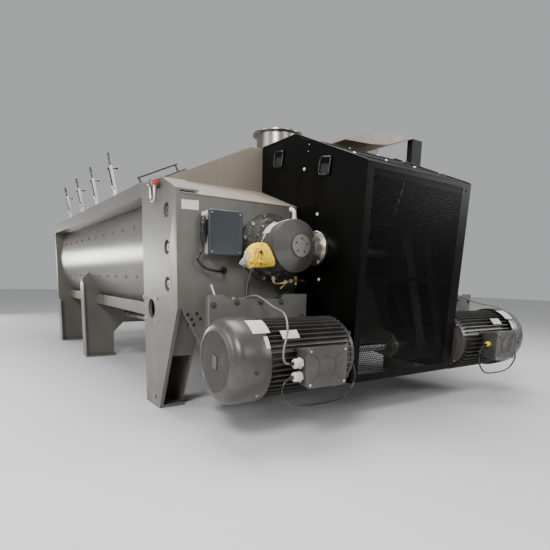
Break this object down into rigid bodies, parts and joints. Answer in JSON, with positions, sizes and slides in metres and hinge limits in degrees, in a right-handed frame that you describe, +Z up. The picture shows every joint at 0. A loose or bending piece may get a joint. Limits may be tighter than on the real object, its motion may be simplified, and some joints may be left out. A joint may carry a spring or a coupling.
{
  "type": "twin-shaft paddle mixer",
  "caption": "Horizontal twin-shaft paddle batch mixer: double-drum trough, hood with hatch, belt-driven gear units and discharge doors.",
  "frame": {"origin": "on the floor, under the centre of the bounding box", "axes": "+X towards the drive end, +Y to the right side as seen from the drive end, +Z up"},
  "size_m": [5.12, 2.8738, 2.17],
  "materials": {
    "grey_paint": "satin warm grey paint",
    "trough_paint": "satin metallic grey paint",
    "hood_paint": "satin beige grey paint",
    "guard_paint": "satin black powder coat",
    "steel": "machined steel",
    "blade_steel": "worn plate",
    "chrome": "bright plated",
    "pulley_iron": "machined and blacked",
    "rubber": "matt",
    "cover_paint": "satin slate paint",
    "gland_plastic": "ivory",
    "cable_grey": "matt light grey sheath",
    "pouch_yellow": "yellow plastic",
    "fan_plastic": "black",
    "lid_paint": "satin grey paint"
  },
  "bodies": {
    "mixer_frame": {"drive_end_wall": "grey_paint", "far_end_wall": "trough_paint", "trough": "trough_paint", "left_column": "grey_paint", "right_column": "grey_paint", "under_frame": "trough_paint", "hood": "hood_paint", "inlet_neck": "steel", "vent_box": "hood_paint", "hood_fittings": "steel", "left_gear_unit": "grey_paint", "right_gear_unit": "grey_paint", "gear_fittings": "steel", "rotor_bearings": "grey_paint", "shaft_seals": "steel", "left_motor_frame": "grey_paint", "right_motor_frame": "grey_paint", "motor_end_shields": "grey_paint", "hatch_gasket": "rubber", "left_fan_cowl": "grey_paint", "right_fan_cowl": "grey_paint", "enclosures": "grey_paint", "enclosure_covers": "cover_paint", "drive_belts": "rubber", "motor_brackets": "grey_paint", "guard_frame": "guard_paint", "guard_side_panels": "guard_paint", "guard_front_mesh": "guard_paint", "guard_roof": "guard_paint", "door_bearings": "trough_paint", "door_actuators": "hood_paint", "cable_glands": "gland_plastic", "left_supply_cable": "cable_grey", "left_loop_cable": "cable_grey", "right_supply_cable": "cable_grey", "right_loop_cable": "cable_grey", "junction_cable": "rubber", "fasteners": "steel", "document_pouch": "pouch_yellow"},
    "left_rotor": {"left_rotor_shaft": "steel", "left_paddles": "blade_steel"},
    "right_rotor": {"right_rotor_shaft": "steel", "right_paddles": "blade_steel"},
    "cross_drive": {"cross_shaft": "steel", "driven_pulleys": "pulley_iron"},
    "left_motor": {"left_motor_rotor": "steel", "left_motor_pulley": "pulley_iron", "left_fan": "fan_plastic"},
    "right_motor": {"right_motor_rotor": "steel", "right_motor_pulley": "pulley_iron", "right_fan": "fan_plastic"},
    "hatch": {"hatch_lid": "lid_paint"},
    "clamp_1": {"swing_clamp_1": "chrome"},
    "clamp_2": {"swing_clamp_2": "chrome"},
    "clamp_3": {"swing_clamp_3": "chrome"},
    "clamp_4": {"swing_clamp_4": "chrome"},
    "left_discharge": {"left_door": "blade_steel"},
    "right_discharge": {"right_door": "blade_steel"},
    "left_lifting": {"left_shackle": "chrome"},
    "right_lifting": {"right_shackle": "chrome"}
  },
  "joints": [
    {"name": "left_rotor_spin", "type": "hinge", "parent": "mixer_frame", "child": "left_rotor", "pos_m": [-0.26, -0.73, 1.1], "axis": [1, 0, 0], "continuous": true},
    {"name": "right_rotor_spin", "type": "hinge", "parent": "mixer_frame", "child": "right_rotor", "pos_m": [-0.26, 0.73, 1.1], "axis": [1, 0, 0], "continuous": true},
    {"name": "cross_shaft_spin", "type": "hinge", "parent": "mixer_frame", "child": "cross_drive", "pos_m": [1.975, 0, 1.1], "axis": [0, 1, 0], "continuous": true},
    {"name": "left_motor_spin", "type": "hinge", "parent": "mixer_frame", "child": "left_motor", "pos_m": [2.218, -0.8, 0.46], "axis": [0, 1, 0], "continuous": true},
    {"name": "right_motor_spin", "type": "hinge", "parent": "mixer_frame", "child": "right_motor", "pos_m": [2.218, 0.8, 0.46], "axis": [0, 1, 0], "continuous": true},
    {"name": "hatch_hinge", "type": "hinge", "parent": "mixer_frame", "child": "hatch", "pos_m": [-0.71, -0.72136, 1.8361], "axis": [-1, 0, 0], "range_deg": [0, 100]},
    {"name": "clamp_1_swing", "type": "hinge", "parent": "mixer_frame", "child": "clamp_1", "pos_m": [0.225, -1.31, 1.64], "axis": [-1, 0, 0], "range_deg": [0, 74.8]},
    {"name": "clamp_2_swing", "type": "hinge", "parent": "mixer_frame", "child": "clamp_2", "pos_m": [-0.415, -1.31, 1.64], "axis": [-1, 0, 0], "range_deg": [0, 74.8]},
    {"name": "clamp_3_swing", "type": "hinge", "parent": "mixer_frame", "child": "clamp_3", "pos_m": [-1.055, -1.31, 1.64], "axis": [-1, 0, 0], "range_deg": [0, 74.8]},
    {"name": "clamp_4_swing", "type": "hinge", "parent": "mixer_frame", "child": "clamp_4", "pos_m": [-1.695, -1.31, 1.64], "axis": [-1, 0, 0], "range_deg": [0, 74.8]},
    {"name": "left_discharge_hinge", "type": "hinge", "parent": "mixer_frame", "child": "left_discharge", "pos_m": [0.14, -0.99926, 0.49523], "axis": [-1, 0, 0], "range_deg": [0, 65]},
    {"name": "right_discharge_hinge", "type": "hinge", "parent": "mixer_frame", "child": "right_discharge", "pos_m": [0.14, 0.99926, 0.49523], "axis": [1, 0, 0], "range_deg": [0, 65]},
    {"name": "left_shackle_hinge", "type": "hinge", "parent": "mixer_frame", "child": "left_lifting", "pos_m": [1.45, -1.409, 1.47], "axis": [-1, 0, 0], "range_deg": [0, 110]},
    {"name": "right_shackle_hinge", "type": "hinge", "parent": "mixer_frame", "child": "right_lifting", "pos_m": [1.45, 1.409, 1.47], "axis": [1, 0, 0], "range_deg": [0, 110]}
  ],
  "couplings": [
    {"joint": "right_rotor_spin", "follows": "left_rotor_spin", "ratio": -1},
    {"joint": "cross_shaft_spin", "follows": "left_rotor_spin", "ratio": 20},
    {"joint": "left_motor_spin", "follows": "left_rotor_spin", "ratio": 36},
    {"joint": "right_motor_spin", "follows": "left_rotor_spin", "ratio": 36}
  ]
}
